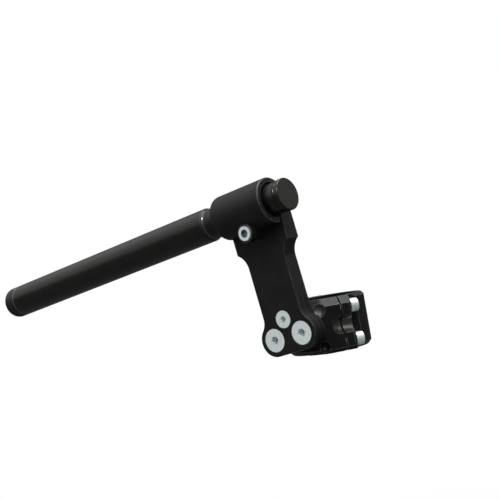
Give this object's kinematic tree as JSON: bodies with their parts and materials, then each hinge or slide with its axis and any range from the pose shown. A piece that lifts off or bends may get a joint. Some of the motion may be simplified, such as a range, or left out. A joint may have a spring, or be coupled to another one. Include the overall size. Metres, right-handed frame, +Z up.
{
  "type": "clip on handlebar",
  "caption": "Raised clip-on handlebar: a split ring clamps the fork tube, a milled riser plate is screwed to it, and a straight bar tube is pinched in the riser's barrel.",
  "frame": {"origin": "centre of the fork clamp's bore, at half the ring's height", "axes": "+Z up the fork tube along the bore's axis, +X inboard across the motorcycle, with the bar tube running outboard towards -X, -Y towards the side that carries the riser"},
  "size_m": [0.2831, 0.0844, 0.1137],
  "materials": {
    "anodised_aluminium": "matte black anodised, machined",
    "tube_aluminium": "satin black anodised",
    "plug_plastic": "satin black",
    "zinc_steel": "bright zinc plated, turned"
  },
  "bodies": {
    "root": {"fork_clamp_body": "anodised_aluminium", "fork_clamp_cap": "anodised_aluminium", "clamp_bolt_inner_upper": "zinc_steel", "clamp_bolt_inner_lower": "zinc_steel", "clamp_bolt_outer_upper": "zinc_steel", "clamp_bolt_outer_lower": "zinc_steel", "riser": "anodised_aluminium", "riser_screw_left": "zinc_steel", "riser_screw_right": "zinc_steel", "riser_screw_upper": "zinc_steel", "pinch_bolt": "zinc_steel", "bar_tube": "tube_aluminium", "bar_end_plug": "plug_plastic", "bar_inner_cap": "plug_plastic", "bar_stop_ring": "zinc_steel"}
  },
  "joints": []
}
